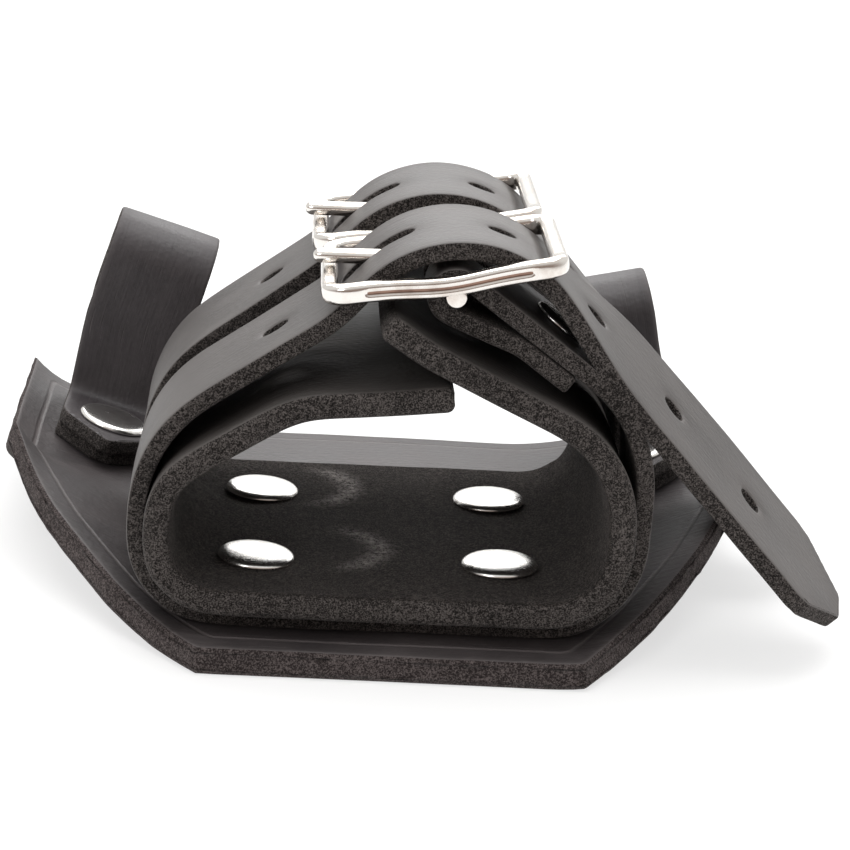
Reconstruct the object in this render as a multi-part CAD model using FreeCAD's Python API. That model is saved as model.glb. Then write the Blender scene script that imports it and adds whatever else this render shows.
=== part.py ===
import FreeCAD, Part
import math
import os

os.makedirs("parts", exist_ok=True)

V = FreeCAD.Vector

# A leather cuff closed by two buckled straps on a six-sided leather base plate whose sides
# are cupped up into wings, with one upright keeper loop riveted to each wing.
# Millimetres.  X runs across the cuff, Y along the tunnel of the cuff, Z up.
# The origin is on the underside of the plate, midway between the four cuff rivets.

# --- leather stock -------------------------------------------------------------------
PLATE_T = 4.3
CUFF_T = 4.0
STRAP_T = 2.8
LOOP_T = 2.7
LAY_GAP = 0.05          # between two leathers that lie on one another

# --- base plate ----------------------------------------------------------------------
PLATE_FRONT_Y = -37.5
PLATE_REAR_Y = 71.0
SHOULDER_Y = 17.0       # the slanted sides run from the front edge back to here
PLATE_HALF_WIDTH = 60.5
FRONT_LEFT_X = -26.9     # the front edge is not quite in the middle
FRONT_RIGHT_X = 30.9
BEND_X = 31.0           # where the flat of each wing would leave the floor
BEND_R = 20.0
LEFT_WING_DEG = 17.0
RIGHT_WING_DEG = 13.0

# --- cuff and straps -----------------------------------------------------------------
CUFF_W = 65.0
STRAP_W = 25.0
RIVET_X = 18.7
RIVET_Y = 15.8          # also the middle of each strap
CUFF_LEFT_X = -33.3     # centreline of the cuff wall
CUFF_RIGHT_X = 34.9
CUFF_LEFT_R = 8.5
CUFF_RIGHT_R = 10.0
STRAP_LEFT_R = CUFF_LEFT_R + 0.5 * CUFF_T + 0.5 * STRAP_T + 0.2
STRAP_RIGHT_R = CUFF_RIGHT_R + 0.5 * CUFF_T + 0.5 * STRAP_T + 0.2
STRAP_LEFT_X = CUFF_LEFT_X - (STRAP_LEFT_R - CUFF_LEFT_R)
STRAP_RIGHT_X = CUFF_RIGHT_X + (STRAP_RIGHT_R - CUFF_RIGHT_R)
STRAP_FLOOR_Z = PLATE_T + LAY_GAP + 0.5 * STRAP_T
CUFF_FLOOR_Z = STRAP_FLOOR_Z + 0.5 * STRAP_T + LAY_GAP + 0.5 * CUFF_T
TAIL_TWIST = {"front": 2.6, "rear": -0.6}   # how far the tail tip's rear edge swings outwards
HOLE_D = 4.5
HOLE_PITCH = 19.0
PRONG_SLOT = 13.0       # length of the worn hole the prong stands in
PRONG_SLOT_W = 3.6
PRONG_BACK = 11.0174    # from the centre bar, leftwards, to the middle of that hole
TAIL_REACH = 63.5       # from the centre bar, rightwards, to the tip of the tail
TAIL_DROP = 51.1        # and down

# --- buckle --------------------------------------------------------------------------
BAR_X = 8.4             # centre bar of the buckle, also the eye of the strap fold
BAR_Z = 57.0
BAR_SHIFT = {"front": (0.0, 0.0), "rear": (-1.4, 0.0)}   # the two straps are not done up alike
BAR_D = 3.0
FRAME_TILT = 10.5       # degrees, the right bar stands higher
FRAME_RISE = 2.9        # the ring runs this far above the centre bar
FRAME_LEFT = 18.1       # centre bar to the middle of the left bar
FRAME_RIGHT = 15.6
FRAME_BAR = 2.6
FRAME_W = 31.0
FRAME_CORNER_R = 4.0
PRONG_D = 2.4
PIN_FIT = 0.06          # radial clearance of the prong eye on the bar
REST_GAP = 0.3          # prong above the left bar
FOLD_FIT = 0.05         # radial clearance of the strap fold on the bar
CHAPE_SLOT_W = 4.0
FOLD_SLOPE = 36.0       # degrees, slope of the strap as it climbs to the centre bar

# --- rivets --------------------------------------------------------------------------
CAP_D = 12.0
CAP_H = 1.3
POST_D = 3.2
POST_FIT = 0.05
BASE_D = 10.0
BASE_H = 1.0
SMALL_CAP_D = 9.0

# --- keeper loops --------------------------------------------------------------------
LOOP_W = 18.0
LOOP_X = 46.5
LOOP_Y = 39.5           # rivet of the loop
LOOP_FRONT_LEG = 11.0   # rivet to the middle of the front leg
LOOP_REAR_LEG = 26.0
LEFT_LOOP_H = 36.0
RIGHT_LOOP_H = 31.5
LOOP_TIP = 10.8         # rivet to the pointed end of the foot


def lin(a, b):
    """One straight run as two stations, each a point and its left-hand normal."""
    d = (b - a).normalize()
    n = V(-d.z, 0, d.x)
    return [(a, n), (b, n)]


def turn(centre, radius, a0, a1):
    """One arc as three stations, from angle a0 to a1 in degrees."""
    side = -1.0 if a1 > a0 else 1.0
    out = []
    for k in (0.0, 0.5, 1.0):
        a = math.radians(a0 + k * (a1 - a0))
        r = V(math.cos(a), 0, math.sin(a))
        out.append((centre + r * radius, r * side))
    return out


def rounded(corners):
    """Straight runs through (x, z, radius) corners with a tangent arc at each inner one."""
    pts = [V(c[0], 0, c[1]) for c in corners]
    runs = []
    start = pts[0]
    for i in range(1, len(pts) - 1):
        p = pts[i]
        d1 = (pts[i - 1] - p).normalize()
        d2 = (pts[i + 1] - p).normalize()
        half = 0.5 * d1.getAngle(d2)
        r = corners[i][2]
        back = r / math.tan(half)
        c = p + (d1 + d2).normalize() * (r / math.sin(half))
        a = p + d1 * back
        b = p + d2 * back
        runs.append(lin(start, a))
        a0 = math.degrees(math.atan2(a.z - c.z, a.x - c.x))
        a1 = math.degrees(math.atan2(b.z - c.z, b.x - c.x))
        while a1 - a0 > 180:
            a1 -= 360
        while a1 - a0 < -180:
            a1 += 360
        runs.append(turn(c, r, a0, a1))
        start = b
    runs.append(lin(start, pts[-1]))
    return runs


def side_edges(runs, off):
    edges = []
    for run in runs:
        p = [s + n * off for s, n in run]
        if len(p) == 2:
            edges.append(Part.makeLine(p[0], p[1]))
        else:
            edges.append(Part.Arc(p[0], p[1], p[2]).toShape())
    return edges


def ribbon(runs, t, y_mid, width):
    """A leather strip: the centreline thickened by t and given its width along Y."""
    up = side_edges(runs, 0.5 * t)
    down = side_edges(runs, -0.5 * t)
    a0, n0 = runs[0][0]
    a1, n1 = runs[-1][-1]
    h = 0.5 * t
    ends = [Part.makeLine(a0 + n0 * h, a0 - n0 * h), Part.makeLine(a1 + n1 * h, a1 - n1 * h)]
    edges = Part.__sortEdges__(up + down + ends)
    face = Part.Face(Part.Wire(edges))
    face.translate(V(0, y_mid - 0.5 * width, 0))
    return face.extrude(V(0, width, 0))


def twisted_end(a, b, n, t, y_mid, width, swing):
    """A flat run from a to b, twisted so that towards b its rear edge swings outwards."""
    h = 0.5 * t
    ends = []
    for edge in (-1.0, 1.0):
        off = n * (-swing * edge)
        pts = [a - n * h, a + n * h, b + n * h + off, b - n * h + off]
        pts = [q + V(0, y_mid + 0.5 * edge * width, 0) for q in pts]
        ends.append(Part.makePolygon(pts + pts[:1]))
    return Part.makeLoft(ends, True, True)


def run_length(run):
    if len(run) == 2:
        return (run[1][0] - run[0][0]).Length
    return Part.Arc(run[0][0], run[1][0], run[2][0]).toShape().Length


def station(runs, s):
    """Point, normal and direction at distance s along the centreline."""
    for run in runs:
        size = run_length(run)
        if s <= size:
            break
        s -= size
    if len(run) == 2:
        n = run[0][1]
        p = run[0][0] + (run[1][0] - run[0][0]) * (s / size)
    else:
        e = Part.Arc(run[0][0], run[1][0], run[2][0]).toShape()
        p = e.valueAt(e.getParameterByLength(s))
        c = e.Curve.Center
        n = (p - c).normalize()
        if n.dot(run[0][1]) < 0 and n.dot(run[2][1]) < 0:
            n = n * -1.0
    return p, n, V(n.z, 0, -n.x)


def rod(p, axis, d, before, after):
    """A cylinder about the line through p, reaching 'before' and 'after' it."""
    a = V(axis).normalize()
    return Part.makeCylinder(0.5 * d, before + after, p - a * before, a)


def save(name, shape):
    shape.exportStep("parts/" + name + ".step")


# =====================================================================================
# base plate
# =====================================================================================
wing_reach = 40.0
left_rise = math.radians(LEFT_WING_DEG)
right_rise = math.radians(RIGHT_WING_DEG)
mid_z = 0.5 * PLATE_T
left_bend = BEND_X + mid_z * math.tan(0.5 * left_rise)
right_bend = BEND_X + mid_z * math.tan(0.5 * right_rise)
plate_runs = rounded([
    (-left_bend - wing_reach * math.cos(left_rise), mid_z + wing_reach * math.sin(left_rise), 0.0),
    (-left_bend, mid_z, BEND_R),
    (right_bend, mid_z, BEND_R),
    (right_bend + wing_reach * math.cos(right_rise), mid_z + wing_reach * math.sin(right_rise), 0.0)])
plate_mid_y = 0.5 * (PLATE_FRONT_Y + PLATE_REAR_Y)
plate = ribbon(plate_runs, PLATE_T, plate_mid_y, PLATE_REAR_Y - PLATE_FRONT_Y)
outline = []
for x, y in ((FRONT_LEFT_X, PLATE_FRONT_Y),
             (FRONT_RIGHT_X, PLATE_FRONT_Y),
             (PLATE_HALF_WIDTH, SHOULDER_Y),
             (PLATE_HALF_WIDTH, PLATE_REAR_Y),
             (-PLATE_HALF_WIDTH, PLATE_REAR_Y),
             (-PLATE_HALF_WIDTH, SHOULDER_Y)):
    outline.append(V(x, y, -5))
blank = Part.Face(Part.makePolygon(outline + outline[:1])).extrude(V(0, 0, 60))
plate = plate.common(blank)

# =====================================================================================
# cuff: one strip rolled into a tunnel, the right flap lying over the left
# =====================================================================================
flap_z = BAR_Z - 2.0 * STRAP_T      # both legs of the strap fold lie over the flaps
cuff_runs = rounded([
    (BAR_X + 0.8, flap_z - CUFF_T - 5.2, 0.0),
    (BAR_X - 21.9, flap_z - CUFF_T - 7.5, 16.0),
    (CUFF_LEFT_X, flap_z - 24.4, 9.0),
    (CUFF_LEFT_X, CUFF_FLOOR_Z, CUFF_LEFT_R),
    (CUFF_RIGHT_X, CUFF_FLOOR_Z, CUFF_RIGHT_R),
    (CUFF_RIGHT_X, flap_z - 17.1, 17.0),
    (BAR_X - 3.9, flap_z - 2.6, 9.0),
    (BAR_X - 10.0, flap_z + 1.5, 0.0)])
cuff = ribbon(cuff_runs, CUFF_T, 0.0, CUFF_W)

# =====================================================================================
# straps: tail, over the top, down the left, under the cuff, up the right, round the bar
# =====================================================================================
fold_r = 0.5 * BAR_D + FOLD_FIT + 0.5 * STRAP_T
fold_a = 90.0 - FOLD_SLOPE
climb = V(math.cos(math.radians(fold_a)), 0, math.sin(math.radians(fold_a)))
slope = V(climb.z, 0, -climb.x)
pinch = 14.0
lower_a = fold_a + 180.0 + pinch
closing = fold_r * (1.0 + math.cos(math.radians(pinch))) - STRAP_T - 2.0 * LAY_GAP
closing_len = closing / math.sin(math.radians(pinch))
ca = math.radians(pinch - FOLD_SLOPE)


def bar_point(name):
    return V(BAR_X + BAR_SHIFT[name][0], 0, BAR_Z + BAR_SHIFT[name][1])


def knee_point(name):
    """Where the turned-back leg comes to lie along the climbing leg."""
    low = V(math.cos(math.radians(lower_a)), 0, math.sin(math.radians(lower_a)))
    return bar_point(name) + low * fold_r + V(math.cos(ca), 0, math.sin(ca)) * closing_len


def long_run(name):
    """From the tail tip to the centre bar."""
    bar = bar_point(name)
    upper = bar + climb * fold_r
    shoulder_z = upper.z - (STRAP_RIGHT_X - upper.x) * math.tan(math.radians(FOLD_SLOPE))
    return rounded([
        (bar.x + TAIL_REACH, bar.z - TAIL_DROP, 0.0),
        (bar.x + 0.4, bar.z + 16.4, 18.6),
        (bar.x - 17.0, bar.z - 4.4, 12.0),
        (STRAP_LEFT_X, bar.z - 24.4, 22.0),
        (STRAP_LEFT_X, STRAP_FLOOR_Z, STRAP_LEFT_R),
        (STRAP_RIGHT_X, STRAP_FLOOR_Z, STRAP_RIGHT_R),
        (STRAP_RIGHT_X, shoulder_z, 21.0),
        (upper.x, upper.z, 0.0)])


def prong_at(name):
    """Distance from the tail tip, over the top, to the middle of the hole for the prong."""
    runs = long_run(name)
    low, high = 0.0, sum(run_length(r) for r in runs[:5])
    x = bar_point(name).x - PRONG_BACK
    while high - low > 0.001:
        mid = 0.5 * (low + high)
        low, high = (mid, high) if station(runs, mid)[0].x > x else (low, mid)
    return low


def strap_blank(name, y_mid):
    bar = bar_point(name)
    lower = bar + V(math.cos(math.radians(lower_a)), 0, math.sin(math.radians(lower_a))) * fold_r
    knee = knee_point(name)
    end = knee + slope * 9.5
    back_run = rounded([(lower.x, lower.z, 0.0), (knee.x, knee.z, 6.0), (end.x, end.z, 0.0)])
    front_run = long_run(name)
    tip, n = front_run[0][0]
    bend = front_run[0][1][0]
    fold = turn(bar, fold_r, fold_a, lower_a)
    body = ribbon(front_run[1:] + [fold] + back_run, STRAP_T, y_mid, STRAP_W)
    tail = twisted_end(bend, tip, n, STRAP_T, y_mid, STRAP_W, TAIL_TWIST[name])
    return body.fuse(tail).removeSplitter()


def tail_cuts(name, y_mid):
    """Two corner pieces taken off the tail so that it ends in a blunt point."""
    p, n, d = station(long_run(name), 0.0)
    cuts = []
    for s in (-1.0, 1.0):
        e = y_mid + s * 0.5 * STRAP_W
        tri = [V(0, e, 0), V(0, e - s * 9.5, 0), V(9.5, e, 0)]
        pts = []
        for q in tri:
            w = p - d * 0.05 + d * q.x - n * 5.0
            w.y = q.y + (0.05 * s if q.y == e else 0.0)
            pts.append(w)
        cuts.append(Part.Face(Part.makePolygon(pts + pts[:1])).extrude(n * 10.0))
    return cuts


def prong_window(name, y_mid):
    """The strap hole the prong stands in, worn long."""
    p, n, d = station(long_run(name), prong_at(name))
    p = V(p.x, y_mid, p.z)
    half = 0.5 * (PRONG_SLOT - PRONG_SLOT_W)
    out = rod(p + d * half, n, PRONG_SLOT_W, 4.0, 4.0)
    out = out.fuse(rod(p - d * half, n, PRONG_SLOT_W, 4.0, 4.0))
    corner = p - d * half - n * 4.0 - V(0, 0.5 * PRONG_SLOT_W, 0)
    sheet = Part.Face(Part.makePolygon([corner, corner + d * 2 * half,
                                        corner + d * 2 * half + V(0, PRONG_SLOT_W, 0),
                                        corner + V(0, PRONG_SLOT_W, 0), corner]))
    return out.fuse(sheet.extrude(n * 8.0))


def hole_tools(name, y_mid):
    tools = []
    for k in range(6):
        if k == 4:
            continue
        p, n, d = station(long_run(name), prong_at(name) + (k - 4) * HOLE_PITCH)
        tools.append(rod(V(p.x, y_mid, p.z), n, HOLE_D, 3.0, 3.0))
    return tools


def chape_slot(name, y_mid):
    box = Part.makeBox(13.0, CHAPE_SLOT_W, 14.0, V(-6.5, y_mid - 0.5 * CHAPE_SLOT_W, -8.0))
    box.rotate(V(0, 0, 0), V(0, 1, 0), FOLD_SLOPE)
    box.translate(bar_point(name))
    return box


# =====================================================================================
# rivets
# =====================================================================================
def cap_solid(p, axis, d, post_top):
    """Domed cap seated at p with a socket for the post."""
    r = 0.5 * d
    rim = 0.3 * CAP_H
    dome_r = (r * r + (CAP_H - rim) ** 2) / (2.0 * (CAP_H - rim))
    s = Part.makeCylinder(r, CAP_H).common(Part.makeSphere(dome_r, V(0, 0, CAP_H - dome_r)))
    s = s.cut(Part.makeCylinder(0.5 * POST_D + POST_FIT, post_top + POST_FIT + 1.0, V(0, 0, -1.0)))
    return place(s, p, axis)


def place(s, p, axis):
    a = V(axis).normalize()
    s = s.copy()
    s.Placement = FreeCAD.Placement(p, FreeCAD.Rotation(V(0, 0, 1), a))
    return s


def rivet(p_top, p_bottom, cap_d, base_d):
    """Cap seated at p_top; post and base disc whose seat is at p_bottom."""
    axis = (p_top - p_bottom).normalize()
    into = 0.7
    grip = (p_top - p_bottom).Length
    cap = cap_solid(p_top, axis, cap_d, into)
    disc = Part.makeCylinder(0.5 * base_d, BASE_H, V(0, 0, -BASE_H))
    stem = Part.makeCylinder(0.5 * POST_D, grip + into + 0.01, V(0, 0, -0.01))
    return cap, place(disc.fuse(stem), p_bottom, axis)


def bore(p_top, p_bottom):
    axis = (p_top - p_bottom).normalize()
    return rod(p_bottom, axis, POST_D + 2.0 * POST_FIT, 3.0, (p_top - p_bottom).Length + 0.6)


def sink(p_bottom, axis, d):
    """Recess that lets the base disc lie flush in the leather."""
    return rod(p_bottom, axis, d + 0.2, BASE_H + 3.0, 0.0)


strap_names = {"front": -RIVET_Y, "rear": RIVET_Y}
straps = {}
for name, y_mid in strap_names.items():
    s = strap_blank(name, y_mid)
    tools = tail_cuts(name, y_mid) + hole_tools(name, y_mid)
    for tool in tools + [prong_window(name, y_mid), chape_slot(name, y_mid)]:
        s = s.cut(tool)
    straps[name] = s

cuff_top_z = CUFF_FLOOR_Z + 0.5 * CUFF_T + LAY_GAP
seat_z = BASE_H + 0.1
for name, y_mid in strap_names.items():
    for side, x in (("left", -RIVET_X), ("right", RIVET_X)):
        top = V(x, y_mid, cuff_top_z)
        low = V(x, y_mid, seat_z)
        cap, post = rivet(top, low, CAP_D, BASE_D)
        hole = bore(top, low)
        plate = plate.cut(hole).cut(sink(low, V(0, 0, 1), BASE_D))
        cuff = cuff.cut(hole)
        straps[name] = straps[name].cut(hole)
        save("cuff_rivet_cap_" + name + "_" + side, cap)
        save("cuff_rivet_post_" + name + "_" + side, post)

# chape rivets clamp the two legs of the fold
for name, y_mid in strap_names.items():
    mid = knee_point(name) + slope * 4.9
    under = mid - climb * (0.5 * STRAP_T + LAY_GAP)
    over = mid + climb * (1.5 * STRAP_T + 3.0 * LAY_GAP)
    top = V(over.x, y_mid, over.z)
    low = V(under.x, y_mid, under.z)
    cap, post = rivet(top, low, SMALL_CAP_D, SMALL_CAP_D)
    straps[name] = straps[name].cut(bore(top, low))
    save("chape_rivet_cap_" + name, cap)
    save("chape_rivet_post_" + name, post)
    save(name + "_strap", straps[name])

# =====================================================================================
# buckles
# =====================================================================================
def buckle_frame():
    """Ring, centre bar and the two bosses, in the ring's own flat position."""
    w = 0.5 * FRAME_W
    x0 = -FRAME_LEFT - 0.5 * FRAME_BAR
    x1 = FRAME_RIGHT + 0.5 * FRAME_BAR
    h = FRAME_BAR
    outer = Part.makeBox(x1 - x0, FRAME_W, h, V(x0, -w, -0.5 * h))
    uprights = [e for e in outer.Edges if abs(e.Vertexes[0].Z - e.Vertexes[1].Z) > 1]
    outer = outer.makeFillet(FRAME_CORNER_R, uprights)
    inner = Part.makeBox(x1 - x0 - 2 * FRAME_BAR, FRAME_W - 2 * FRAME_BAR, h + 2,
                         V(x0 + FRAME_BAR, -w + FRAME_BAR, -0.5 * h - 1))
    uprights = [e for e in inner.Edges if abs(e.Vertexes[0].Z - e.Vertexes[1].Z) > 1]
    inner = inner.makeFillet(FRAME_CORNER_R - FRAME_BAR, uprights)
    ring = outer.cut(inner)
    rims = [e for e in ring.Edges if abs(e.Vertexes[0].Z - e.Vertexes[-1].Z) < 0.01]
    ring = ring.makeFillet(0.3 * FRAME_BAR, rims)
    pin_start = V(0, -w + 0.5 * FRAME_BAR, -FRAME_RISE)
    pin = Part.makeCylinder(0.5 * BAR_D, FRAME_W - FRAME_BAR, pin_start, V(0, 1, 0))
    body = ring.fuse(pin)
    for s in (-1, 1):
        y0 = s * (w - FRAME_BAR + 0.25) if s > 0 else s * (w - 0.25)
        boss = Part.makeCylinder(2.2, FRAME_BAR - 0.5, V(0, y0, -FRAME_RISE), V(0, 1, 0))
        body = body.fuse(boss)
    return body.removeSplitter()


def buckle_prong():
    """Round wire with an eye on the centre bar and its tip lying on the left bar."""
    eye_r = 0.5 * BAR_D + PIN_FIT + 0.5 * PRONG_D
    eye = Part.makeTorus(eye_r, 0.5 * PRONG_D, V(0, 0, -FRAME_RISE), V(0, 1, 0))
    tip = V(-FRAME_LEFT - 0.4 * FRAME_BAR, 0, 0.5 * FRAME_BAR + REST_GAP + 0.5 * PRONG_D)
    c = V(0, 0, -FRAME_RISE)
    reach = (tip - c).Length
    lift = math.atan2(tip.z - c.z, -(tip.x - c.x)) + math.acos(eye_r / reach)
    root = c + V(-math.cos(lift), 0, math.sin(lift)) * eye_r
    stem = rod(tip, root - tip, PRONG_D, 0.0, (root - tip).Length + 0.4)
    nose = Part.makeSphere(0.5 * PRONG_D, tip)
    return eye.fuse(stem).fuse(nose).removeSplitter()


def seat_on_bar(s, name, y_mid):
    s = s.copy()
    s.rotate(V(0, 0, -FRAME_RISE), V(0, 1, 0), -FRAME_TILT)
    s.translate(bar_point(name) + V(0, y_mid, FRAME_RISE))
    return s


for name, y_mid in strap_names.items():
    save(name + "_buckle_frame", seat_on_bar(buckle_frame(), name, y_mid))
    save(name + "_buckle_prong", seat_on_bar(buckle_prong(), name, y_mid))

# =====================================================================================
# keeper loops: one strip, riveted through both of its ends, standing on the wing
# =====================================================================================
def keeper(side, deg, height):
    """A loop, the seat of its rivet cap and the seat of its base disc."""
    t = LOOP_T
    foot_z = 1.5 * t + LAY_GAP
    half = 0.5 * LOOP_W
    runs = rounded([
        (-7.0, 0.5 * t, 0.0),
        (LOOP_REAR_LEG, 0.5 * t, 4.5),
        (LOOP_REAR_LEG, height, 5.5),
        (LOOP_FRONT_LEG, height, 5.5),
        (LOOP_FRONT_LEG, foot_z, 3.4),
        (-LOOP_TIP, foot_z, 0.0)])
    body = ribbon(runs, t, 0.0, LOOP_W)
    for s in (-1, 1):
        # the foot ends in a point, the layer under it in clipped corners
        tri = [V(-LOOP_TIP, 0, 0), V(-LOOP_TIP - 1, 0, 0), V(-LOOP_TIP - 1, s * (half + 1), 0),
               V(-LOOP_TIP + half + 1, s * (half + 1), 0)]
        tri = [q + V(0, 0, t + 0.5 * LAY_GAP) for q in tri]
        body = body.cut(Part.Face(Part.makePolygon(tri + tri[:1])).extrude(V(0, 0, 1.5 * t)))
        low = [V(-8, s * 1.0, -1), V(-8, s * (half + 1), -1), V(half - 7.0, s * (half + 1), -1)]
        corner = Part.Face(Part.makePolygon(low + low[:1]))
        body = body.cut(corner.extrude(V(0, 0, 1 + t + 0.5 * LAY_GAP)))
    rise = math.radians(deg)
    axis = V(-side * math.sin(rise), 0, math.cos(rise))
    along = V(0, 1, 0)
    across = axis.cross(along)
    seat = V(side * LOOP_X, LOOP_Y, PLATE_T + (LOOP_X - BEND_X) * math.tan(rise))
    m = FreeCAD.Matrix(along.x, across.x, axis.x, 0,
                       along.y, across.y, axis.y, 0,
                       along.z, across.z, axis.z, 0)
    spot = FreeCAD.Placement(m)
    spot.Base = seat + axis * LAY_GAP
    body.Placement = spot
    head = seat + axis * (2.0 * t + 3.0 * LAY_GAP)
    under = seat - axis * (PLATE_T - seat_z)
    return body, head, under


for name, side, deg, height in (("left", -1.0, LEFT_WING_DEG, LEFT_LOOP_H),
                                ("right", 1.0, RIGHT_WING_DEG, RIGHT_LOOP_H)):
    body, head, under = keeper(side, deg, height)
    cap, post = rivet(head, under, CAP_D, BASE_D)
    hole = bore(head, under)
    save(name + "_loop", body.cut(hole))
    plate = plate.cut(hole).cut(sink(under, head - under, BASE_D))
    save(name + "_loop_rivet_cap", cap)
    save(name + "_loop_rivet_post", post)

save("cuff", cuff)
save("base_plate", plate)
print("strap length to the bar", round(sum(run_length(r) for r in long_run("front")), 1))
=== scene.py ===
# %% [markdown]
# # A two-strap leather cuff on a cupped plate
# The object is a hand grip of heavy black leather. A cuff is rolled into a tunnel and held shut
# by two buckled straps. Four rivets fix cuff and straps to a six-sided plate, and a keeper loop
# stands on each raised wing of the plate.
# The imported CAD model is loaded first. It fixes where every piece goes and which pieces move.
# Each leather piece is then made the way a leather worker makes it: cut flat, punched, edged,
# and rolled along the line that its middle follows.

# %% Load the fixed frame
import math
from bisect import bisect_right

import bmesh
import bpy
from mathutils import Matrix, Vector, kdtree, noise


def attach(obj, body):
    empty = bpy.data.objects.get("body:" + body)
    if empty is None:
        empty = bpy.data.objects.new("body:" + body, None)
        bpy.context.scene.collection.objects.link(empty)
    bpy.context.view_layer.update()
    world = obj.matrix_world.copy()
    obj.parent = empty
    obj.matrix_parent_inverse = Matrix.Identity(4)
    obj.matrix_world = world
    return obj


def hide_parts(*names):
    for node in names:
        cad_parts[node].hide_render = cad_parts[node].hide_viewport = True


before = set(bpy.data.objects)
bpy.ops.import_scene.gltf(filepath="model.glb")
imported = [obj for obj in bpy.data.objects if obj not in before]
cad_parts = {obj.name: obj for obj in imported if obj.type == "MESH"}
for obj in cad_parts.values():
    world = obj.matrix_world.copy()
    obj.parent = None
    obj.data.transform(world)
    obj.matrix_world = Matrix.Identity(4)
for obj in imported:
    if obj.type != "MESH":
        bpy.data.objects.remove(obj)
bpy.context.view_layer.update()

MM = 0.001

# %% [markdown]
# ## The line a strip follows
# A strap seen from the side is a few straight runs joined by round bends, so a list of corners
# with a bend radius for each says it all. Real leather doesn't go from straight to round in an
# instant. The sampled line is evened out over a few millimetres, so each bend comes on slowly.

# %% Lines that leather follows
STEP = 0.5


class Line:
    """A sampled centreline in millimetres, in the plane of X and Z."""

    def __init__(self, points):
        self.p = [Vector(points[0])]
        for q in points[1:]:
            if (Vector(q) - self.p[-1]).length > 1e-4:
                self.p.append(Vector(q))
        self.s = [0.0]
        for a, b in zip(self.p, self.p[1:]):
            self.s.append(self.s[-1] + (b - a).length)
        self.length = self.s[-1]

    def at(self, s):
        """Point and left-hand normal at distance s, past the ends too."""
        i = min(max(bisect_right(self.s, s) - 1, 0), len(self.p) - 2)
        a, b = self.p[i], self.p[i + 1]
        f = (s - self.s[i]) / (self.s[i + 1] - self.s[i])
        before, after = self.p[max(i - 1, 0)], self.p[min(i + 2, len(self.p) - 1)]
        d = (b - before).normalized().lerp((after - a).normalized(), min(max(f, 0.0), 1.0)).normalized()
        return a + (b - a) * f, Vector((-d.y, d.x))

    def eased(self, reach):
        """The same line with its bends spread over reach millimetres each way."""
        n = max(2, round(self.length / STEP))
        even = [self.at(self.length * k / n)[0] for k in range(n + 1)]
        out = []
        for i in range(n + 1):
            w = min(round(reach / STEP), i, n - i)
            out.append(sum(even[i - w:i + w + 1], Vector((0.0, 0.0))) / (2 * w + 1))
        return Line(out)


def arc(centre, start, turn):
    """Points on an arc about centre from the point start, turned by an angle in radians."""
    arm = Vector(start) - centre
    n = max(4, round(abs(turn) * arm.length / STEP))
    return [centre + Matrix.Rotation(turn * k / n, 2) @ arm for k in range(n + 1)]


def bent(corners):
    """Straight runs through (x, z, radius) corners, each inner corner rounded."""
    pts = [Vector((x, z)) for x, z, r in corners]
    line = [pts[0]]
    for i in range(1, len(pts) - 1):
        to_last, to_next = (pts[i - 1] - pts[i]).normalized(), (pts[i + 1] - pts[i]).normalized()
        half = 0.5 * to_last.angle(to_next)
        r = corners[i][2]
        centre = pts[i] + (to_last + to_next).normalized() * (r / math.sin(half))
        start = pts[i] + to_last * (r / math.tan(half))
        side = 1.0 if to_last.x * to_next.y - to_last.y * to_next.x < 0 else -1.0
        line += arc(centre, start, side * (math.pi - 2 * half))
    return Line(line + [pts[-1]])


# %% [markdown]
# ## Working flat leather
# A blank starts as a grid of small squares, because a piece that is going to be rolled needs
# many rows across the roll. Holes are punched by taking squares out and easing the edge that is
# left onto the outline of the punch. The sheet is then given its thickness, its corners are
# bevelled as an edging tool does, and the cut sides are roughened, because a knife leaves
# fibres. All of it happens while the piece lies flat, as it does on the bench.

# %% Cut, punch and thicken
GRAIN, CUT, FLESH = 0, 1, 2


def blank(length, width, pitch):
    bm = bmesh.new()
    bmesh.ops.create_grid(bm, x_segments=round(length / pitch), y_segments=round(width / pitch), size=0.5)
    bmesh.ops.scale(bm, vec=(length, width, 1), verts=bm.verts)
    bmesh.ops.translate(bm, vec=(0.5 * length, 0, 0), verts=bm.verts)
    return bm


def trim(bm, point, outward):
    """Cuts away what lies beyond a straight knife line."""
    everything = bm.verts[:] + bm.edges[:] + bm.faces[:]
    bmesh.ops.bisect_plane(bm, geom=everything, plane_co=(*point, 0), plane_no=(*outward, 0),
                           clear_outer=True)


def punch(bm, x, y, radius, half_length=0.0):
    """A round hole, or a long one with round ends."""
    def axis(co):
        return Vector((min(max(co.x, x - half_length), x + half_length), y, 0))
    inside = []
    for f in bm.faces:
        c = f.calc_center_median()
        if (c - axis(c)).length < radius:
            inside.append(f)
    ring = {v for f in inside for v in f.verts}
    bmesh.ops.delete(bm, geom=inside, context="FACES")
    for v in ring:
        if v.is_valid:
            q = axis(v.co)
            v.co = q + (v.co - q).normalized() * radius


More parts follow.
